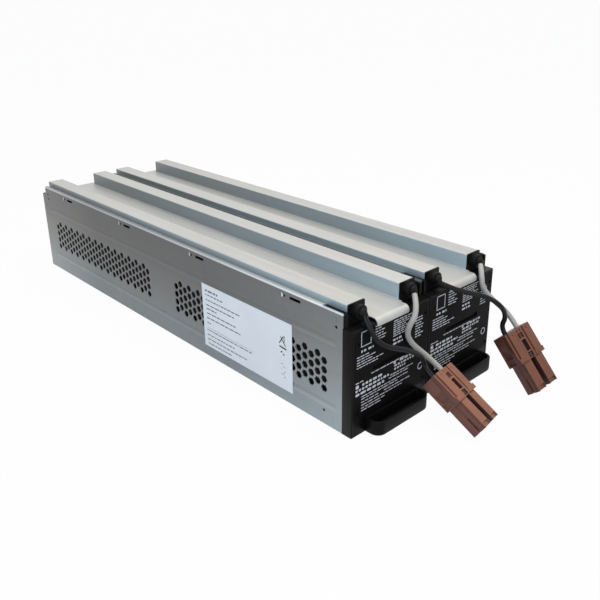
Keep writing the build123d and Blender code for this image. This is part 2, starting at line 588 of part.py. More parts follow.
def cartridge_set(cartridge, side):
    """All nodes of one cartridge; only the outer wall in view is vented."""
    save(f"{side}_case_left_wall", place(side_wall(side == "left"), cartridge))
    save(f"{side}_case_right_wall", place(mirror_x(side_wall(False)), cartridge))
    save(f"{side}_case_floor", place(floor_tray(), cartridge))
    save(f"{side}_case_rear_panel", place(rear_panel(), cartridge))
    save(f"{side}_top_cover", place(top_cover(), cartridge))
    save(f"{side}_front_bezel", place(front_bezel(), cartridge))
    save(f"{side}_front_label", place(face_film(), cartridge))
    save(f"{side}_pull_handle", place(pull_handle(), cartridge))
    for n in range(BLOCKS):
        save(f"{side}_battery_block_{n + 1}", place(cell_block(n), cartridge))
    save(f"{side}_block_links", *[place(s, cartridge) for s in straps()])
    save(f"{side}_case_rivets", *[place(r, cartridge) for r in rivets()])
    save(f"{side}_outer_end_cap", place(end_cap(CHANNEL_A), cartridge))
    save(f"{side}_inner_end_cap", place(end_cap(CHANNEL_B), cartridge))
    frame = plug_frame(*PLUG_AT[side])
    lead_set(cartridge, side, frame)
    save(f"{side}_plug_body", place(frame * plug_body(), cartridge))
    save(f"{side}_plug_cover", place(frame * plug_cover(), cartridge))
    save(f"{side}_plug_screws", *[place(frame * s, cartridge) for s in plug_screws()])
    save(f"{side}_plug_contacts", *[place(frame * s, cartridge) for s in plug_contacts()])


for number, name in enumerate(("left", "right")):
    cartridge_set(number, name)
side_label = box(WALL_INSET - FILM_T, WALL_INSET, *SIDE_LABEL_Y, *SIDE_LABEL_Z)
save("side_label", place(side_label, 0))
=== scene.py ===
import json
import math
import random
import bpy
from mathutils import Matrix, Vector


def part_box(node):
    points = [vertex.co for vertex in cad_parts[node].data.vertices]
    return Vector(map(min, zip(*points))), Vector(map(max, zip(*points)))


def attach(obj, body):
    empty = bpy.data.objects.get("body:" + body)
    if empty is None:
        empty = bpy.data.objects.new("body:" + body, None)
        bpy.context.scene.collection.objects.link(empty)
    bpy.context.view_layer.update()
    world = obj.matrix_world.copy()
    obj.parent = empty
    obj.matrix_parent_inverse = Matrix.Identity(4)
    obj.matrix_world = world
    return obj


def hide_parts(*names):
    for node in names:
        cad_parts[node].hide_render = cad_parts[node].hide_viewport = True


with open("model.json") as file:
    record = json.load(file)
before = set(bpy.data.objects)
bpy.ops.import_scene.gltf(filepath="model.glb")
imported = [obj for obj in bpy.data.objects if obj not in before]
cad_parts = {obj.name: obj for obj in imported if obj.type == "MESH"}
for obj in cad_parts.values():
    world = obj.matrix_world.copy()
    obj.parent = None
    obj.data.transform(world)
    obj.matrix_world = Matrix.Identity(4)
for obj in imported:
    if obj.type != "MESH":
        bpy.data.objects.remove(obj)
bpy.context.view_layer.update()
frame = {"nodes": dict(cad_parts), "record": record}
cad = frame["nodes"]
record = frame["record"]
slot_of = {part["node"]: part["material_slot"] for part in record["subparts"]}
random.seed(7)

# Layout, in metres: two cartridges side by side, with their fronts toward -Y
MM = 0.001
SIDES = ("left", "right")
PITCH = 0.100           # from cartridge to cartridge
FACE_X = -0.09955       # left edge of the left front
FACE_Y = -0.278         # plane of both fronts
WALL_TOP = 0.1127       # height of the walls
WALL_REAR = 0.573       # rear end of the walls, from the fronts
SLOT_Z = 0.1066         # middle of the slots near the walls' top
SLOT_PITCH = 0.1415     # from slot to slot along a wall
FIRST_TIP = 0.0836      # where the first pressed tip starts, from the fronts


def at(side, x, y, z):
    """A point from millimetres in one cartridge's own corner."""
    shift = PITCH if side == "right" else 0.0
    return Vector((FACE_X + shift + x * MM, FACE_Y + y * MM, z * MM))


# Camera: the photograph's place and framing, with angles in degrees and the rest in pixels
CAMERA_AT = (-0.470535, -0.623177, 0.357592)
CAMERA_TURN = -43.123
CAMERA_RISE = 20.695
CAMERA_ROLL = -0.533
FOCAL_PIXELS = 709.208
CENTRE_X = 308.468
CENTRE_Y = 255.481
PICTURE = 600
SENSOR = 36


def photo_camera():
    turn, rise, roll = (math.radians(v) for v in (CAMERA_TURN, CAMERA_RISE, CAMERA_ROLL))
    back = Vector((math.sin(turn) * math.cos(rise), -math.cos(turn) * math.cos(rise), math.sin(rise)))
    right = Vector((0, 0, 1)).cross(back).normalized()
    up = back.cross(right)
    level_right = right * math.cos(roll) + up * math.sin(roll)
    level_up = up * math.cos(roll) - right * math.sin(roll)
    data = bpy.data.cameras.new("photo_camera")
    data.sensor_width = SENSOR
    data.lens = FOCAL_PIXELS * SENSOR / PICTURE
    data.shift_x = (PICTURE / 2 - CENTRE_X) / PICTURE
    data.shift_y = (CENTRE_Y - PICTURE / 2) / PICTURE
    data.clip_start = 0.02
    data.clip_end = 100
    camera = bpy.data.objects.new("photo_camera", data)
    bpy.context.scene.collection.objects.link(camera)
    turn_to = Matrix((level_right, level_up, back)).transposed().to_4x4()
    camera.matrix_world = Matrix.Translation(Vector(CAMERA_AT)) @ turn_to
    bpy.context.scene.camera = camera


# Studio: a cool pale room, three softboxes and a white table
ROOM_TINT = (0.78, 0.89, 1.0, 1)
ROOM_LIGHT = 0.52
WHITE = (1, 1, 1, 1)
# Each softbox: name, place, aim, width, watts, tint
SOFTBOXES = (
    ("top_softbox", (0.1, -0.4, 1.45), (0, -0.05, 0.05), 1.0, 17, (1.0, 0.95, 0.88)),
    ("front_softbox", (-0.2, -1.8, 0.7), (0, -0.2, 0.05), 0.8, 1.5, (1.0, 0.98, 0.96)),
    ("side_softbox", (-1.5, -0.9, 0.6), (-0.1, -0.1, 0.06), 1.0, 8.0, (0.8, 0.9, 1.0)),
)
TABLE_WIDTH = 90
TABLE_DROP = 0.6 * MM       # how far the table lies under the cartridges
TABLE_TINT = (0.60, 0.62, 0.64, 1)
TABLE_GLOW = 0.97           # how much of the table's picture is plain white, the rest being its shadow


def soft_lamp(name, place, aim, width, watts, tint):
    data = bpy.data.lights.new(name, "AREA")
    data.shape = "SQUARE"
    data.size = width
    data.energy = watts
    data.color = tint
    lamp = bpy.data.objects.new(name, data)
    bpy.context.scene.collection.objects.link(lamp)
    lamp.location = place
    lamp.rotation_euler = (Vector(aim) - Vector(place)).to_track_quat("-Z", "Y").to_euler()


def seen_directly(tree):
    """1 for rays that come straight from the camera, or by a mirror or through glass."""
    ray = tree.nodes.new("ShaderNodeLightPath")
    last = ray.outputs["Is Camera Ray"]
    for kind in ("Is Glossy Ray", "Is Transmission Ray"):
        either = tree.nodes.new("ShaderNodeMath")
        either.operation = "MAXIMUM"
        tree.links.new(last, either.inputs[0])
        tree.links.new(ray.outputs[kind], either.inputs[1])
        last = either.outputs[0]
    return last


def studio():
    world = bpy.data.worlds.new("studio")
    bpy.context.scene.world = world
    world.use_nodes = True
    nodes, links = world.node_tree.nodes, world.node_tree.links
    nodes.clear()
    out = nodes.new("ShaderNodeOutputWorld")
    room = nodes.new("ShaderNodeBackground")
    room.inputs["Color"].default_value = ROOM_TINT
    room.inputs["Strength"].default_value = ROOM_LIGHT
    white = nodes.new("ShaderNodeBackground")
    white.inputs["Color"].default_value = WHITE
    mix = nodes.new("ShaderNodeMixShader")
    links.new(seen_directly(world.node_tree), mix.inputs[0])
    links.new(room.outputs[0], mix.inputs[1])
    links.new(white.outputs[0], mix.inputs[2])
    links.new(mix.outputs[0], out.inputs[0])
    for softbox in SOFTBOXES:
        soft_lamp(*softbox)


def table_top():
    bpy.ops.object.select_all(action="DESELECT")
    bpy.ops.mesh.primitive_plane_add(size=TABLE_WIDTH, location=(0, 0, -TABLE_DROP))
    floor = bpy.context.object
    floor.name = "table_top"
    mat = bpy.data.materials.new("white_sweep")
    mat.use_nodes = True
    nodes, links = mat.node_tree.nodes, mat.node_tree.links
    nodes.clear()
    out = nodes.new("ShaderNodeOutputMaterial")
    glow = nodes.new("ShaderNodeEmission")
    matte = nodes.new("ShaderNodeBsdfDiffuse")
    matte.inputs["Color"].default_value = TABLE_TINT
    mix = nodes.new("ShaderNodeMixShader")
    share = nodes.new("ShaderNodeMath")
    share.operation = "MULTIPLY"
    share.inputs[1].default_value = TABLE_GLOW
    links.new(seen_directly(mat.node_tree), share.inputs[0])
    links.new(share.outputs[0], mix.inputs[0])
    links.new(matte.outputs[0], mix.inputs[1])
    links.new(glow.outputs[0], mix.inputs[2])
    links.new(mix.outputs[0], out.inputs[0])
    floor.data.materials.append(mat)


# Finishes

MIX_SHARE, MIX_FIRST, MIX_SECOND, MIX_RESULT = 0, 6, 7, 2     # sockets of a colour mix


def grey(level):
    return (level, level, level)


OFF = grey(0.0)
ON = grey(1.0)
# Where painted shade on sideways faces starts and where it is full
FLANK_STARTS, FLANK_FULL = 0.35, 0.85       # how far a face looks sideways
# Grains per metre along X, Y and Z
STREAKS = (110, 2, 110)
CLOUDS = (14, 7, 14)
ROLL_MARKS = (260, 8, 260)
COVER_CLOUDS = (16, 5, 16)
SCUFFS = (150, 60, 150)
MOULD_FLOW = (70, 14, 70)
CRYSTALS = 150


class Finish:
    """One surface finish, built up as nodes on Object coordinates."""

    def __init__(self, name, rough, metal=0.0, gloss=0.5):
        self.mat = bpy.data.materials.new(name)
        self.mat.use_nodes = True
        self.nodes, self.links = self.mat.node_tree.nodes, self.mat.node_tree.links
        self.shader = self.nodes["Principled BSDF"]
        self.shader.inputs["Roughness"].default_value = rough
        self.shader.inputs["Metallic"].default_value = metal
        self.shader.inputs["Specular IOR Level"].default_value = gloss
        self.spot = self.nodes.new("ShaderNodeTexCoord").outputs["Object"]

    def feed(self, socket, value):
        """Puts a value, or another node's result, into a socket."""
        if hasattr(value, "is_linked"):
            self.links.new(value, socket)
        else:
            socket.default_value = value

    def noise(self, scale, detail, rough=0.55):
        """Noise with so many grains per metre along X, Y and Z."""
        grid = self.nodes.new("ShaderNodeMapping")
        grid.inputs["Scale"].default_value = scale
        self.links.new(self.spot, grid.inputs["Vector"])
        tex = self.nodes.new("ShaderNodeTexNoise")
        tex.inputs["Scale"].default_value = 1.0
        tex.inputs["Detail"].default_value = detail
        tex.inputs["Roughness"].default_value = rough
        self.links.new(grid.outputs["Vector"], tex.inputs["Vector"])
        return tex.outputs["Fac"]

    def even_noise(self, grains, detail):
        """Noise with as many grains per metre every way."""
        return self.noise((grains, grains, grains), detail)

    def along(self, axis, start, end):
        """0 to 1 from start to end on one axis of the piece."""
        split = self.nodes.new("ShaderNodeSeparateXYZ")
        self.links.new(self.spot, split.inputs["Vector"])
        return self.spread(split.outputs[axis], 0.0, 1.0, start, end)

    def painted_flank_shade(self):
        """1 on faces that look left or right, where shade is painted, and 0 on faces that look up, forward
        or back.
        """
        facing = self.nodes.new("ShaderNodeNewGeometry")
        split = self.nodes.new("ShaderNodeSeparateXYZ")
        self.links.new(facing.outputs["Normal"], split.inputs["Vector"])
        sideways = self.maths("ABSOLUTE", split.outputs["X"])
        return self.spread(sideways, 0.0, 1.0, FLANK_STARTS, FLANK_FULL)

    def toward(self, direction):
        """How far a point of the piece lies along a direction."""
        node = self.nodes.new("ShaderNodeVectorMath")
        node.operation = "DOT_PRODUCT"
        node.inputs[1].default_value = direction
        self.links.new(self.spot, node.inputs[0])
        return node.outputs["Value"]

    def maths(self, kind, first, second=0.0):
        node = self.nodes.new("ShaderNodeMath")
        node.operation = kind
        self.feed(node.inputs[0], first)
        self.feed(node.inputs[1], second)
        return node.outputs[0]

    def ramp(self, value, stops):
        """Colours along a value, from pairs of spot and colour."""
        node = self.nodes.new("ShaderNodeValToRGB")
        bar = node.color_ramp
        while len(bar.elements) < len(stops):
            bar.elements.new(0.5)
        for element, (spot, colour) in zip(bar.elements, stops):
            element.position = spot
            element.color = (*colour, 1)
        self.links.new(value, node.inputs["Fac"])
        return node.outputs["Color"]

    def blend(self, first, second, share, kind="MIX"):
        node = self.nodes.new("ShaderNodeMix")
        node.data_type = "RGBA"
        node.blend_type = kind
        self.feed(node.inputs[MIX_SHARE], share)
        self.feed(node.inputs[MIX_FIRST], first)
        self.feed(node.inputs[MIX_SECOND], second)
        return node.outputs[MIX_RESULT]

    def tinted(self, first, second, share=1.0):
        """One colour multiplied by another."""
        return self.blend(first, second, share, "MULTIPLY")

    def spread(self, value, low, high, start=0.0, end=1.0):
        """Takes a value from start..end to low..high."""
        node = self.nodes.new("ShaderNodeMapRange")
        node.inputs["From Min"].default_value = start
        node.inputs["From Max"].default_value = end
        node.inputs["To Min"].default_value = low
        node.inputs["To Max"].default_value = high
        self.links.new(value, node.inputs["Value"])
        return node.outputs["Result"]

    def colour(self, value):
        self.links.new(value, self.shader.inputs["Base Color"])

    def roughness(self, value):
        self.links.new(value, self.shader.inputs["Roughness"])

    def bump(self, height, strength, depth):
        node = self.nodes.new("ShaderNodeBump")
        node.inputs["Strength"].default_value = strength
        node.inputs["Distance"].default_value = depth
        self.links.new(height, node.inputs["Height"])
        self.links.new(node.outputs["Normal"], self.shader.inputs["Normal"])

    def rolled(self, base, rough):
        """Rolling streaks along the sheet, soft clouds and faint zinc crystals over a base tone."""
        streaks = self.noise(STREAKS, detail=3.0)
        clouds = self.noise(CLOUDS, detail=3.0)
        crystals = self.nodes.new("ShaderNodeTexVoronoi")
        crystals.inputs["Scale"].default_value = CRYSTALS
        self.links.new(self.spot, crystals.inputs["Vector"])
        streak_tone = self.ramp(streaks, [(0.3, grey(0.88)), (0.7, grey(1.04))])
        cloud_tone = self.ramp(clouds, [(0.3, (0.93, 0.95, 0.97)), (0.7, (1.03, 1.01, 0.98))])
        sheet = self.tinted(self.tinted(base, streak_tone, share=0.6), cloud_tone, share=0.8)
        self.colour(self.blend(sheet, crystals.outputs["Color"], share=0.03, kind="SOFT_LIGHT"))
        self.roughness(self.spread(streaks, rough - 0.06, rough + 0.08))
        self.bump(self.noise(ROLL_MARKS, detail=2.0), strength=0.1, depth=0.06 * MM)


# Wall steel. Spots are shares of the wall's height or length
# Painted highlight on the wall's bent top edge: where it starts, where it is full, and its bright tone
EDGE_START, EDGE_LIT = 0.984, 0.989
EDGE_HIGHLIGHT = (0.74, 0.75, 0.76)
# Painted light over the wall's grey: darker and warmer high up, paler and cooler low down, a painted
# highlight on the bent edge and painted shade on the flange top
WALL_TONES_AND_PAINTED_LIGHT = [
    (0.0, (0.33, 0.36, 0.375)), (0.12, (0.32, 0.34, 0.35)), (0.45, (0.27, 0.268, 0.262)),
    (0.78, (0.2, 0.194, 0.19)), (EDGE_START, (0.195, 0.188, 0.184)), (EDGE_LIT, EDGE_HIGHLIGHT),
    (0.998, EDGE_HIGHLIGHT), (0.9995, (0.40, 0.42, 0.44)),
]
# Painted light along the wall's length: paler and bluer near the front, darker in the middle, paler and
# warmer at the rear end
WALL_ENDS_PAINTED_LIGHT = [
    (0.02, (1.2, 1.27, 1.28)), (0.12, (1.0, 1.04, 1.06)), (0.35, grey(0.78)),
    (0.75, (0.78, 0.775, 0.75)), (1.0, (1.25, 1.21, 1.16)),
]
BEADS = (0.186, 0.7365)
# Painted highlight on the lower half of each bead and painted shade on its upper half
BEAD_PAINTED_SHADING = [(-0.036, ON), (-0.022, grey(1.22)), (-0.002, ON), (0.020, grey(0.84)), (0.036, ON)]
BEAD_ENDS = [(0.033, OFF), (0.036, ON), (0.964, ON), (0.967, OFF)]
# The painted edge highlight dims towards the rear, and painted shade dims it between the two cases
EDGE_HIGHLIGHT_TOWARD_REAR = [(0.3, ON), (0.85, (0.68, 0.68, 0.70))]
SHADE_BETWEEN_CASES = [(0.35, ON), (0.42, grey(0.3)), (0.58, grey(0.3)), (0.65, ON)]
CASES_REACH = 0.09          # metres to either side of the middle between the cases

# Pressed tips: a blunt triangle of painted highlight behind each slot, where the sheet is pressed out
TIP_HIGHLIGHT = (0.8, 0.82, 0.84, 1)
TIP_LENGTH = 3.0 * MM
TIP_GAP = 0.05 * MM
TIP_HALF = 0.5 * MM       # half its height at the slot
TIP_FLARE = 0.62          # growth of that half along the tip
TIP_SPOT = (FACE_Y + FIRST_TIP) / SLOT_PITCH % 1


def painted_tip_highlights(f):
    """1 on the tips, where the sheet is pressed out and a highlight is painted, and 0 elsewhere."""
    turn = f.maths("FRACT", f.toward((0, 1 / SLOT_PITCH, 0)))
    back = f.spread(turn, 0.0, SLOT_PITCH, TIP_SPOT, TIP_SPOT + 1)
    rise = f.spread(f.toward((0, 0, 1)), -WALL_TOP, WALL_TOP, SLOT_Z - WALL_TOP, SLOT_Z + WALL_TOP)
    half = f.maths("ADD", f.maths("MULTIPLY", back, TIP_FLARE), TIP_HALF)
    inside = f.maths("GREATER_THAN", half, f.maths("ABSOLUTE", rise))
    started = f.maths("GREATER_THAN", back, TIP_GAP)
    ended = f.maths("LESS_THAN", back, TIP_LENGTH)
    return f.maths("MULTIPLY", inside, f.maths("MULTIPLY", started, ended))


def wall_sheet():
    """Wall steel, grey, with painted light: darker and warmer high up, cooler and paler low down, a painted
    highlight along its bent edge, painted shading across each bead, painted highlights on the pressed tips,
    and paler towards both ends.
    """
    f = Finish("wall_steel", rough=0.5, metal=0.35, gloss=0.3)
    height = f.along("Z", 0.0, WALL_TOP)
    length = f.along("Y", FACE_Y, FACE_Y + WALL_REAR)
    tone = f.ramp(height, WALL_TONES_AND_PAINTED_LIGHT)
    # Painted highlight and painted shade across each bead, only along the bead's length
    painted_bead_light = [(bead + step, level) for bead in BEADS for step, level in BEAD_PAINTED_SHADING]
    bead_shading = f.blend(WHITE, f.ramp(height, painted_bead_light), f.ramp(length, BEAD_ENDS))
    tone = f.tinted(tone, bead_shading)
    # Painted highlight on the bent edge, dimmed towards the rear and by painted shade between the cases
    bent_edge_highlight = f.ramp(height, [(EDGE_START, OFF), (EDGE_LIT, ON)])
    between = f.ramp(f.along("X", -CASES_REACH, CASES_REACH), SHADE_BETWEEN_CASES)
    shaded = f.tinted(f.ramp(length, EDGE_HIGHLIGHT_TOWARD_REAR), between)
    tone = f.tinted(tone, shaded, bent_edge_highlight)
    # Painted highlight on the pressed tips
    tone = f.blend(tone, TIP_HIGHLIGHT, painted_tip_highlights(f))
    # The painted light along the length goes over the whole wall
    f.rolled(f.tinted(tone, f.ramp(length, WALL_ENDS_PAINTED_LIGHT)), rough=0.48)
    return f.mat


# Cover steel, from its front end to its rear end
COVER_FRONT, COVER_REAR = -0.265, 0.287
# Painted shade on the cover's flank faces, bluer and darker, with painted light paling them towards the
# front
COVER_FLANK_SHADE = [(0.0, (0.43, 0.53, 0.59)), (0.3, (0.33, 0.39, 0.42)), (1.0, (0.255, 0.27, 0.27))]
COVER_TOPS = [(0.35, (0.52, 0.505, 0.475)), (0.65, (0.55, 0.545, 0.53))]
SCUFF_TONE = (0.40, 0.33, 0.29, 1)


def cover_sheet():
    """Cover steel: bright broad faces, and flanks with painted shade, bluer and darker, with painted light
    that pales them towards the front.
    """
    f = Finish("cover_steel", rough=0.45, metal=0.4, gloss=0.4)
    flanks = f.ramp(f.along("Y", COVER_FRONT, COVER_REAR), COVER_FLANK_SHADE)
    tops = f.ramp(f.noise(COVER_CLOUDS, detail=3.0), COVER_TOPS)
    scuffs = f.ramp(f.noise(SCUFFS, detail=5.0, rough=0.7), [(0.66, OFF), (0.74, grey(0.35))])
    tops = f.blend(tops, SCUFF_TONE, scuffs)
    # Painted shade on the flank faces over the broad faces' tone
    f.rolled(f.blend(tops, flanks, f.painted_flank_shade()), rough=0.44)
    return f.mat


def moulded(name, low, high, rough, grain, strength, gloss):
    """Moulded plastic or rubber with a fine grain and slightly uneven colour."""
    f = Finish(name, rough, gloss=gloss)
    f.colour(f.ramp(f.even_noise(40, detail=3.0), [(0.3, low), (0.7, high)]))
    f.roughness(f.spread(f.even_noise(55, detail=2.0), rough - 0.06, rough + 0.07))
    f.bump(f.even_noise(grain, detail=2.0), strength, depth=0.04 * MM)
    return f.mat


# Each plug: the middle of its rear, the way its nose points, and its width, in a cartridge's own corner
PLUG_AT = {
    "left": ((80.3, -26.2, 41.9), (0.12, -0.824, -0.553), (0.967, 0.223, -0.123)),
    "right": ((80.6, -36.0, 51.7), (0.032, -0.640, -0.768), (0.997, -0.030, 0.066)),
}
# Plug plastic: the far plug is painted darker, as shade
PLUG_SHADE_TINT = {"left": WHITE, "right": (0.58, 0.51, 0.47, 1)}
PLUG_BROAD = [(0.3, (0.210, 0.082, 0.046)), (0.7, (0.270, 0.106, 0.060))]
# Painted shade on the plug's flank faces
PLUG_FLANK_SHADE = [(0.3, (0.110, 0.041, 0.031)), (0.7, (0.145, 0.056, 0.043))]
# Painted shade down in the plug's hollows
PLUG_HOLLOW_SHADE = (0.035, 0.013, 0.010, 1)
# Room of the painted shade in the hollows, in millimetres from the middle of the plug's rear
HOLLOW_HALF_WIDTH = 3.55
HOLLOW_TOP = 7.3
HOLLOW_BOTTOM = -8.0
HOLLOW_REAR = -11.0


def plug_hollow_shade(f, side):
    """1 down in the plug's window, pockets and fork gap, where shade is painted, and 0 on its skin."""
    back, nose, wide = (Vector(v) for v in PLUG_AT[side])
    along = -nose.normalized()
    upright = (wide - along * wide.dot(along)).normalized().cross(along)
    across = upright.cross(along)
    rear = at(side, *back)
    room = (
        (across, "LESS_THAN", HOLLOW_HALF_WIDTH),
        (across, "GREATER_THAN", -HOLLOW_HALF_WIDTH),
        (upright, "LESS_THAN", HOLLOW_TOP),
        (upright, "GREATER_THAN", HOLLOW_BOTTOM),
        (along, "LESS_THAN", HOLLOW_REAR),
    )
    inside = 1.0
    for direction, kind, limit in room:
        within = f.maths(kind, f.toward(direction), rear.dot(direction) + limit * MM)
        inside = f.maths("MULTIPLY", inside, within)
    return inside


def plug_brown(side):
    """Brown connector plastic: paler along its mould flow, with painted shade on its flank faces and down
    in its hollows, and the far plug painted darker as shade.
    """
    f = Finish(side + "_plug_brown", rough=0.5, gloss=0.35)
    flow = f.noise(MOULD_FLOW, detail=3.0)
    # Painted shade on the flank faces
    skin = f.blend(f.ramp(flow, PLUG_BROAD), f.ramp(flow, PLUG_FLANK_SHADE), f.painted_flank_shade())
    # The far plug painted darker, as shade
    skin = f.tinted(skin, PLUG_SHADE_TINT[side])
    # Painted shade down in the hollows
    f.colour(f.blend(skin, PLUG_HOLLOW_SHADE, plug_hollow_shade(f, side)))
    f.roughness(f.spread(flow, 0.42, 0.55))
    f.bump(f.even_noise(400, detail=2.0), strength=0.1, depth=0.03 * MM)
    return f.mat


def label_paper():
    f = Finish("label_paper", rough=0.5, gloss=0.3)
    f.colour(f.ramp(f.even_noise(30, detail=4.0), [(0.3, (0.82, 0.83, 0.86)), (0.7, (0.86, 0.87, 0.90))]))
    f.bump(f.even_noise(20, detail=2.0), strength=0.12, depth=0.4 * MM)
    return f.mat


def ink(name, colour, rough):
    """Printed ink, a fifth darker where it is worn."""
    f = Finish(name, rough, gloss=0.25)
    worn = tuple(c * 0.8 for c in colour)
    f.colour(f.ramp(f.even_noise(400, detail=2.0), [(0.3, colour), (0.8, worn)]))
    return f.mat


def plain_metal(name, low, high, rough):
    f = Finish(name, rough, metal=0.9)
    f.colour(f.ramp(f.even_noise(300, detail=3.0), [(0.3, low), (0.7, high)]))
    f.bump(f.even_noise(900, detail=2.0), strength=0.1, depth=0.03 * MM)
    return f.mat


# Deep tone, pale tone, roughness, grains per metre, their strength, gloss
MOULDINGS = {
    "black_plastic": ((0.003, 0.003, 0.0033), (0.005, 0.005, 0.0055), 0.36, 900, 0.25, 0.09),
    "black_rubber": ((0.004, 0.004, 0.004), (0.007, 0.007, 0.007), 0.5, 500, 0.25, 0.12),
    "dark_film": ((0.0058, 0.0050, 0.0049), (0.0085, 0.0074, 0.0072), 0.4, 300, 0.08, 0.03),
    "block_plastic": ((0.006, 0.006, 0.007), (0.01, 0.01, 0.011), 0.6, 300, 0.1, 0.1),
    "black_lead": ((0.004, 0.004, 0.0052), (0.006, 0.006, 0.0078), 0.3, 600, 0.15, 0.2),
    "grey_lead": ((0.34, 0.325, 0.305), (0.41, 0.395, 0.375), 0.42, 600, 0.2, 0.4),
}
# Deep tone, pale tone, roughness
METALS = {
    "tinned_metal": ((0.6, 0.6, 0.58), (0.7, 0.7, 0.68), 0.35),
    "plated_screw": ((0.05, 0.035, 0.03), (0.09, 0.065, 0.055), 0.4),
    "contact_metal": ((0.55, 0.42, 0.2), (0.65, 0.5, 0.26), 0.35),
}
cover_steel = cover_sheet()
finishes = {"zinc_steel": wall_sheet(), "white_label": label_paper()}
for name, values in MOULDINGS.items():
    finishes[name] = moulded(name, *values)
for name, values in METALS.items():
    finishes[name] = plain_metal(name, *values)
plug_plastic = {side: plug_brown(side) for side in SIDES}
pale_ink = ink("pale_ink", (0.62, 0.62, 0.65), 0.5)
dark_ink = ink("dark_ink", (0.15, 0.14, 0.17), 0.5)
pen_ink = ink("pen_ink", (0.02, 0.02, 0.025), 0.4)
faded_ink = ink("faded_ink", (0.38, 0.35, 0.36), 0.5)


def finish_of(node):
    if slot_of[node] == "brown_plastic":
        return plug_plastic[node.split("_")[0]]
    if node.endswith(("top_cover", "rear_panel")):
        return cover_steel
    return finishes[slot_of[node]]


for node in slot_of:
    cad[node].data.materials.clear()
    cad[node].data.materials.append(finish_of(node))


# Pieces that stand for a solid

WELD = 0.002 * MM       # points closer than this are one
FLAT = 0.5              # faces within these degrees are one
SHARP_MOULDING = 35     # edges sharper than these degrees stay sharp
SHARP_SHEET = 30


def only(piece):
    """Selects this piece alone and makes it the active one."""
    bpy.ops.object.select_all(action="DESELECT")
    piece.select_set(True)
    bpy.context.view_layer.objects.active = piece


def merged_copy(node, name):
    """A copy of one solid's mesh as a closed skin of flat faces."""
    piece = bpy.data.objects.new(name, cad[node].data.copy())
    bpy.context.scene.collection.objects.link(piece)
    only(piece)
    bpy.ops.object.mode_set(mode="EDIT")
    bpy.ops.mesh.select_all(action="SELECT")
    bpy.ops.mesh.remove_doubles(threshold=WELD)
    bpy.ops.mesh.dissolve_limited(angle_limit=math.radians(FLAT))
    bpy.ops.object.mode_set(mode="OBJECT")
    return piece


def stand_for(piece, node):
    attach(piece, "root")
    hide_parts(node)


def eased(node, width):
    """The moulding with its sharp edges eased, so that they catch the light."""
    piece = merged_copy(node, node + "_eased")
    edge = piece.modifiers.new("eased_edges", "BEVEL")
    edge.width = width
    edge.segments = 2
    edge.limit_method = "ANGLE"
    edge.angle_limit = math.radians(SHARP_MOULDING)
    bpy.ops.object.modifier_apply(modifier=edge.name)
    bpy.ops.object.shade_smooth_by_angle(angle=math.radians(SHARP_MOULDING))
    stand_for(piece, node)
    return piece


# Vents of the far outer wall: the same two fields of hexagons as the near one, in millimetres
VENT_ACROSS = 6.8                       # across a hexagon's flats
VENT_COLUMN, VENT_ROW = 8.0, 8.95       # from column to column, and from row to row
VENT_ROWS, VENT_PAIRS = 4, 14
VENT_FIELDS = (33.3, 314.6)             # where the fields start, from the front
VENT_Z = 35.3
WALL_X = 98.3                           # middle of the far wall's sheet
PUNCH_DEPTH = 4.0


def vent_punches(y, z, columns):
    """Hexagonal punches for every second column of one field."""
    bpy.ops.object.select_all(action="DESELECT")
    bpy.ops.mesh.primitive_cylinder_add(vertices=6, radius=VENT_ACROSS / math.sqrt(3) * MM,
                                        depth=PUNCH_DEPTH * MM, location=at("right", WALL_X, y, z),
                                        rotation=(0, math.pi / 2, 0))
    punch = bpy.context.object
    bpy.ops.object.transform_apply(location=True, rotation=True, scale=True)
    for step, count in (((0, 2 * VENT_COLUMN * MM, 0), columns), ((0, 0, VENT_ROW * MM), VENT_ROWS)):
        row = punch.modifiers.new("row", "ARRAY")
        row.count = count
        row.use_relative_offset = False
        row.use_constant_offset = True
        row.constant_offset_displace = step
        bpy.ops.object.modifier_apply(modifier=row.name)
    return punch


def vented_wall():
    """The far outer wall, with the two fields punched through it."""
    wall = merged_copy("right_case_right_wall", "right_case_right_wall_vented")
    column_sets = ((0, 0, VENT_PAIRS + 1), (VENT_COLUMN, VENT_ROW / 2, VENT_PAIRS))
    for start in VENT_FIELDS:
        for first, lift, columns in column_sets:
            punch = vent_punches(start + first, VENT_Z + lift, columns)
            only(wall)
            cut = wall.modifiers.new("vents", "BOOLEAN")
            cut.operation = "DIFFERENCE"
            cut.solver = "EXACT"
            cut.object = punch
            bpy.ops.object.modifier_apply(modifier=cut.name)
            bpy.data.objects.remove(punch)
    bpy.ops.object.shade_smooth_by_angle(angle=math.radians(SHARP_SHEET))
    stand_for(wall, "right_case_right_wall")


# Print: rows of plain bars, a few plain strokes, and one ring on each front

INK = 0.05 * MM                     # thickness of the print
BAR_CORNER = 0.16                   # cut off a bar's corners, as a share of its size
BAR_SHORT, BAR_LONG = 0.5, 1.6      # a bar's length, as shares of the row's mean
BAR_LEAST = 0.4                     # a row ends where less than this share of the mean is left
GAP_SHARE, GAP_LEAST = 0.42, 0.45   # the gap between bars: a share of their height, and millimetres
FACE_TURN = Matrix.Rotation(math.radians(90), 4, "X")
LABEL_TURN = Matrix(((0, 0, -1, 0), (-1, 0, 0, 0), (0, 1, 0, 0), (0, 0, 0, 1)))


def rows_below(start, ends, z, step, height, mean):
    """Rows one under the other, from one start to their own ends."""
    return [(start, end, z - step * k, height, mean) for k, end in enumerate(ends)]


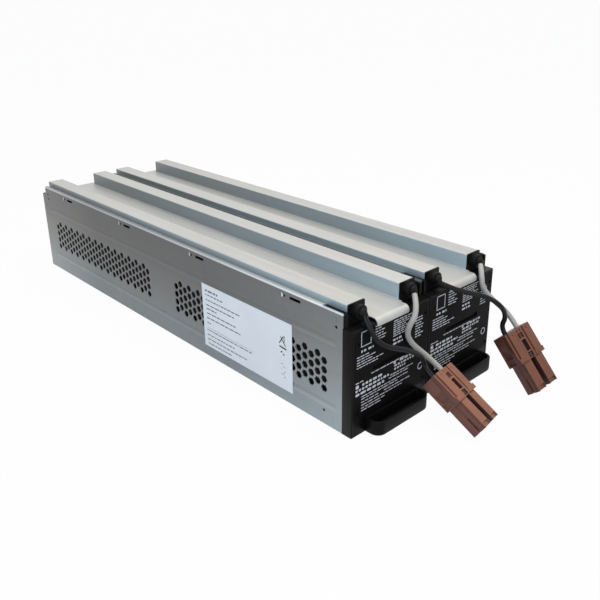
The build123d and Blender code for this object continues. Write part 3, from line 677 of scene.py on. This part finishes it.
# Rows on each front in millimetres: from x, to x, z, height, mean length of a bar
FACE_ROWS = (
    rows_below(27, (38, 36, 40, 37, 41, 39), 96.5, 2.5, 0.9, 4)
    + rows_below(50, (75, 72, 74, 69, 75, 73, 70, 66), 93.4, 2.0, 0.85, 4.5)
    + [(10, 16, 79.6, 2.0, 3), (18.5, 25, 79.6, 2.0, 3), (50, 62, 75.6, 1.9, 3.2), (50, 63, 71.8, 1.9, 3.6)]
    + rows_below(5, (21, 28, 25, 38, 31), 75.4, 2.45, 0.85, 4)
    + [(23, 66, 54.6, 0.9, 5.5), (4, 15, 51.6, 0.9, 3), (12, 38, 48.0, 2.3, 3.4),
       (4, 46, 44.2, 2.1, 3.8), (4, 40, 40.4, 2.3, 4.2), (52, 57, 53.2, 3.0, 5),
       (60, 82, 53.2, 2.3, 3.4), (53, 80, 49.8, 1.9, 3.4), (53, 68, 46.6, 1.9, 3.2)]
    + [(48, 79, 42.6, 0.9, 5), (46, 74, 40.2, 0.9, 5), (11, 72, 36.6, 0.9, 5),
       (11, 58, 34.2, 0.9, 5), (40, 76, 31.2, 0.9, 5), (11, 33, 31.2, 0.9, 5),
       (11, 66, 28.4, 0.9, 5), (11, 44, 25.6, 0.9, 5), (11, 36, 23.0, 0.9, 5)]
    + rows_below(80, (90, 91.5, 88, 91, 90, 87, 91, 89.5), 86, 2.6, 1.0, 3.2)
)
# Rows on the paper label: from y, down to y, z, height, mean length of a bar
LABEL_ROWS = (
    (203.7, 182.8, 74.6, 2.0, 4.5), (203.4, 172.4, 70.1, 1.2, 4.5), (203.3, 146.7, 64.4, 1.2, 5),
    (203.1, 156.1, 59.0, 1.2, 5), (202.8, 186.0, 54.7, 1.2, 5), (202.6, 155.4, 49.8, 1.2, 5),
    (203.1, 148.1, 44.5, 1.2, 5), (203.0, 195.1, 39.0, 1.2, 4), (203.8, 131.1, 30.7, 1.1, 4.5),
    (203.6, 157.2, 25.3, 1.1, 4.5), (203.4, 138.1, 20.4, 1.1, 4.5), (203.1, 162.0, 15.6, 1.1, 4.5),
)
# Strokes: middle along, middle up, length, height, slant in degrees
FACE_STROKES = [
    (16, 97, 11, 0.8, 0), (16, 84, 13, 0.8, 0), (10.2, 90.5, 13.2, 0.8, 90),
    (21.8, 90.5, 13.2, 0.8, 90), (6, 48, 3.8, 3.4, 0),
]
LABEL_STROKES = [
    (-88.0, 61.5, 10.0, 1.1, 55), (-85.5, 60.5, 11.0, 1.1, -50), (-84.0, 63.5, 7.0, 1.0, 88),
    (-86.0, 54.2, 10.0, 1.5, -4), (-88.0, 49.4, 2.6, 1.3, 20), (-85.0, 47.4, 2.2, 1.3, -30),
]
LABEL_FAINT = [
    (-166, 33.4, 73.7, 0.35, 0), (-87.5, 37.5, 3.2, 0.6, 20), (-84.5, 35.0, 3.0, 0.6, -35),
    (-88.0, 32.5, 2.2, 0.6, 70), (-84.0, 29.5, 3.4, 0.7, 50), (-87.0, 26.8, 4.2, 0.7, -10),
    (-84.2, 24.2, 2.4, 0.8, 30),
]
RING_X, RING_Z = 89.4, 35.8
RING_RADIUS = 3.6 * MM
RING_STROKE = 1.0 * MM


def stamp():
    """One printed bar, a unit wide and high, with its corners taken off."""
    bpy.ops.object.select_all(action="DESELECT")
    bpy.ops.mesh.primitive_cube_add(size=1)
    bar = bpy.context.object
    bpy.ops.object.mode_set(mode="EDIT")
    bpy.ops.mesh.select_all(action="DESELECT")
    bpy.ops.object.mode_set(mode="OBJECT")
    for edge in bar.data.edges:
        a, b = (bar.data.vertices[v].co for v in edge.vertices)
        edge.select = abs(a.z - b.z) > 0.5
    bpy.ops.object.mode_set(mode="EDIT")
    bpy.ops.mesh.select_mode(type="EDGE")
    bpy.ops.mesh.bevel(offset=BAR_CORNER, segments=1)
    bpy.ops.object.mode_set(mode="OBJECT")
    return bar


def ring(middle, turn):
    """A plain printed ring."""
    bpy.ops.object.select_all(action="DESELECT")
    bpy.ops.mesh.primitive_circle_add(vertices=40, radius=RING_RADIUS)
    piece = bpy.context.object
    bpy.ops.object.mode_set(mode="EDIT")
    bpy.ops.mesh.select_all(action="SELECT")
    bpy.ops.mesh.extrude_edges_move()
    inner = (RING_RADIUS - RING_STROKE) / RING_RADIUS
    bpy.ops.transform.resize(value=(inner, inner, 1))
    bpy.ops.mesh.select_all(action="SELECT")
    bpy.ops.mesh.extrude_region_move(TRANSFORM_OT_translate={"value": (0, 0, INK)})
    bpy.ops.mesh.select_all(action="SELECT")
    bpy.ops.mesh.normals_make_consistent(inside=False)
    bpy.ops.object.mode_set(mode="OBJECT")
    piece.matrix_world = Matrix.Translation(middle) @ turn
    return piece


def bars_in(rows):
    """The bars of rows, as middle along, middle up, length, height and slant."""
    bars = []
    for start, end, z, height, mean in rows:
        here = start
        while here < end - BAR_LEAST * mean:
            length = min(random.uniform(BAR_SHORT, BAR_LONG) * mean, end - here)
            bars.append((here + length / 2, z, length, height, 0))
            here += length + GAP_SHARE * height + GAP_LEAST
    return bars


def printed(name, bars, extra, place, turn, finish):
    """Bars and extra pieces joined into one print."""
    bar = stamp()
    pieces = list(extra)
    for along, up, length, height, slant in bars:
        copy = bpy.data.objects.new(name + "_bar", bar.data.copy())
        bpy.context.scene.collection.objects.link(copy)
        lean = Matrix.Rotation(math.radians(slant), 4, "Z")
        size = Matrix.Diagonal((length * MM, height * MM, INK, 1))
        copy.matrix_world = Matrix.Translation(place(along, up)) @ turn @ lean @ size
        pieces.append(copy)
    bpy.data.objects.remove(bar)
    only(pieces[0])
    for piece in pieces:
        piece.select_set(True)
    bpy.ops.object.join()
    joined = bpy.context.object
    joined.name = name
    bpy.ops.object.transform_apply(location=True, rotation=True, scale=True)
    joined.data.materials.clear()
    joined.data.materials.append(finish)
    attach(joined, "root")


def face_print(side):
    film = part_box(side + "_front_label")[0][1]

    def place(x, z):
        spot = at(side, x, 0, z)
        return Vector((spot.x, film - INK / 2, spot.z))

    bars = bars_in(FACE_ROWS) + FACE_STROKES
    mark = ring(place(RING_X, RING_Z) + Vector((0, INK / 2, 0)), FACE_TURN)
    printed(side + "_front_print", bars, [mark], place, FACE_TURN, pale_ink)


def label_print():
    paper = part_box("side_label")[0][0]
    rows = [(-start, -end, z, height, mean) for start, end, z, height, mean in LABEL_ROWS]

    def place(back, z):
        spot = at("left", 0, -back, z)
        return Vector((paper - INK / 2, spot.y, spot.z))

    printed("side_label_print", bars_in(rows), [], place, LABEL_TURN, dark_ink)
    printed("side_label_pen_strokes", LABEL_STROKES, [], place, LABEL_TURN, pen_ink)
    printed("side_label_faint_print", LABEL_FAINT, [], place, LABEL_TURN, faded_ink)


# Leads: the same bends as the source, in millimetres of each cartridge's corner
LEADS = {
    ("left", "black"): ((16.5, 2.55, 108.3), (14.8, -3.8, 99.7), (23.3, -10.8, 83.3), (48.6, -18.3, 74.2),
                        (67.4, -19.7, 61.1), (69.85, -19.67, 48.88), (71.11, -28.32, 43.07)),
    ("left", "grey"): ((80.4, 3.0, 108.45), (71.4, -8.8, 97.8), (63.3, -3.6, 82.1), (69.5, -3.1, 67.4),
                       (87.71, -11.88, 48.92), (89.49, -24.08, 40.73)),
    ("right", "black"): ((16.5, 2.55, 108.3), (30.2, -7.9, 99.3), (50.4, -22.6, 93.4), (62.0, -33.5, 84.0),
                         (71.5, -34.9, 69.3), (70.86, -30.34, 57.52), (71.13, -35.72, 51.07)),
    ("right", "grey"): ((80.4, 3.0, 108.45), (73.0, -4.1, 100.9), (71.4, -7.0, 88.8),
                        (79.4, -18.4, 75.2), (89.6, -26.75, 63.77), (90.07, -36.28, 52.33)),
}
LEAD_THICK = {"black": 0.0046, "grey": 0.0050}
LEAD_STEPS = 16         # steps from bend to bend
LEAD_ROUND = 6          # fineness of a lead's round section


def battery_lead(side, colour):
    """One lead from its bushing down to its plug."""
    name = f"{side}_{colour}_lead"
    points = [at(side, *p) for p in LEADS[(side, colour)]]
    curve = bpy.data.curves.new(name + "_cord", "CURVE")
    curve.dimensions = "3D"
    line = curve.splines.new("NURBS")
    line.points.add(len(points) - 1)
    for spot, point in zip(line.points, points):
        spot.co = (*point, 1)
    line.order_u = 3
    line.use_endpoint_u = True
    line.resolution_u = LEAD_STEPS
    curve.bevel_depth = LEAD_THICK[colour] / 2
    curve.bevel_resolution = LEAD_ROUND
    curve.use_fill_caps = True
    curve.materials.append(finishes[f"{colour}_lead"])
    lead = bpy.data.objects.new(name + "_cord", curve)
    bpy.context.scene.collection.objects.link(lead)
    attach(lead, "root")
    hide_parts(name)


# The whole battery: dressed mouldings, leads and print of both cartridges, then the far wall
PLUG_BODY_EASE = 0.22 * MM
PLUG_COVER_EASE = 0.18 * MM
FRONT_EASE = 0.3 * MM

for side in SIDES:
    plug = [
        eased(side + "_plug_body", PLUG_BODY_EASE),
        eased(side + "_plug_cover", PLUG_COVER_EASE),
        cad[side + "_plug_contacts"],
        cad[side + "_plug_screws"],
    ]
    eased(side + "_front_bezel", FRONT_EASE)
    eased(side + "_pull_handle", FRONT_EASE)
    for colour in ("black", "grey"):
        battery_lead(side, colour)
    face_print(side)
label_print()
vented_wall()

photo_camera()
studio()
table_top()
bpy.context.scene.view_settings.view_transform = "Standard"
